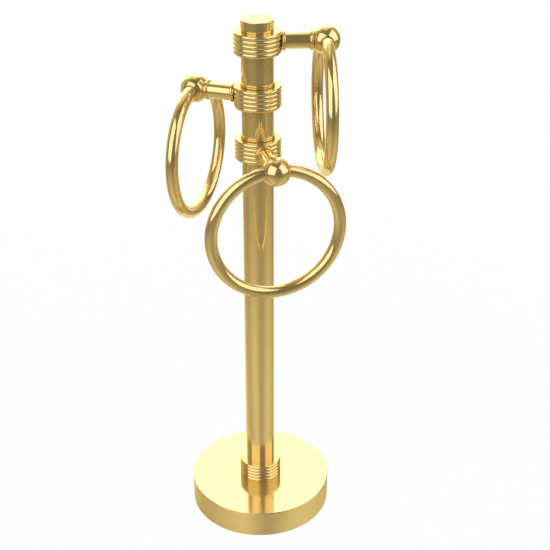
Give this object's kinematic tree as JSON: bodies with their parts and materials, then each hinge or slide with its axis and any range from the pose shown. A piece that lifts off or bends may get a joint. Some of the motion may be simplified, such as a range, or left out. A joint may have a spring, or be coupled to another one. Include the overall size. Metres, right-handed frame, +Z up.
{
  "type": "countertop towel holder",
  "caption": "Free-standing polished brass towel holder: round heavy base, tubular post, and ribbed collars that swivel, with arms whose towel rings swing in drilled balls.",
  "frame": {"origin": "on the counter under the middle of the post, on the underside of the base pad", "axes": "+Z up along the post; -Y along the lower arm, towards the front; +X to the right"},
  "size_m": [0.1441, 0.1438, 0.4498],
  "materials": {
    "polished_brass": "mirror polished and lacquered",
    "plated_steel": "zinc plated",
    "nylon": "plain",
    "pad_rubber": "matt"
  },
  "bodies": {
    "stand": {"base_disc": "polished_brass", "base_pad": "pad_rubber", "base_collar": "polished_brass", "tie_rod": "plated_steel", "base_nut": "plated_steel", "base_washer": "plated_steel", "top_cap": "polished_brass", "lower_post_tube": "polished_brass", "lower_tube_foot_plug": "polished_brass", "lower_tube_head_plug": "polished_brass", "lower_bush": "polished_brass", "lower_swivel_washer": "nylon", "lower_seat_ring": "polished_brass", "middle_post_tube": "polished_brass", "middle_tube_foot_plug": "polished_brass", "middle_tube_head_plug": "polished_brass", "middle_bush": "polished_brass", "middle_swivel_washer": "nylon", "middle_seat_ring": "polished_brass", "upper_post_tube": "polished_brass", "upper_tube_foot_plug": "polished_brass", "upper_tube_head_plug": "polished_brass", "upper_bush": "polished_brass", "upper_swivel_washer": "nylon"},
    "lower_arm_set": {"lower_swivel_collar": "polished_brass", "lower_arm": "polished_brass", "lower_arm_stud": "plated_steel", "lower_ball": "polished_brass"},
    "lower_ring": {"lower_towel_ring": "polished_brass"},
    "middle_arm_set": {"middle_swivel_collar": "polished_brass", "middle_arm": "polished_brass", "middle_arm_stud": "plated_steel", "middle_ball": "polished_brass"},
    "middle_ring": {"middle_towel_ring": "polished_brass"},
    "upper_arm_set": {"upper_swivel_collar": "polished_brass", "upper_arm": "polished_brass", "upper_arm_stud": "plated_steel", "upper_ball": "polished_brass"},
    "upper_ring": {"upper_towel_ring": "polished_brass"}
  },
  "joints": [
    {"name": "lower_swivel", "type": "hinge", "parent": "stand", "child": "lower_arm_set", "pos_m": [0, 0, 0.3469], "axis": [0, 0, 1], "range_deg": [-30, 5]},
    {"name": "lower_ring_swing", "type": "hinge", "parent": "lower_arm_set", "child": "lower_ring", "pos_m": [0, -0.0522, 0.3469], "axis": [-1, 0, 0], "range_deg": [-19, 120]},
    {"name": "middle_swivel", "type": "hinge", "parent": "stand", "child": "middle_arm_set", "pos_m": [0, 0, 0.3897], "axis": [0, 0, 1], "range_deg": [-48, 30]},
    {"name": "middle_ring_swing", "type": "hinge", "parent": "middle_arm_set", "child": "middle_ring", "pos_m": [-0.04312, 0.02942, 0.3897], "axis": [0.5635, 0.8261, 0], "range_deg": [-19, 180]},
    {"name": "upper_swivel", "type": "hinge", "parent": "stand", "child": "upper_arm_set", "pos_m": [0, 0, 0.4325], "axis": [0, 0, 1], "range_deg": [-5, 62]},
    {"name": "upper_ring_swing", "type": "hinge", "parent": "upper_arm_set", "child": "upper_ring", "pos_m": [0.0511, -0.01068, 0.4325], "axis": [-0.2045, -0.9789, 0], "range_deg": [-17, 180]}
  ]
}
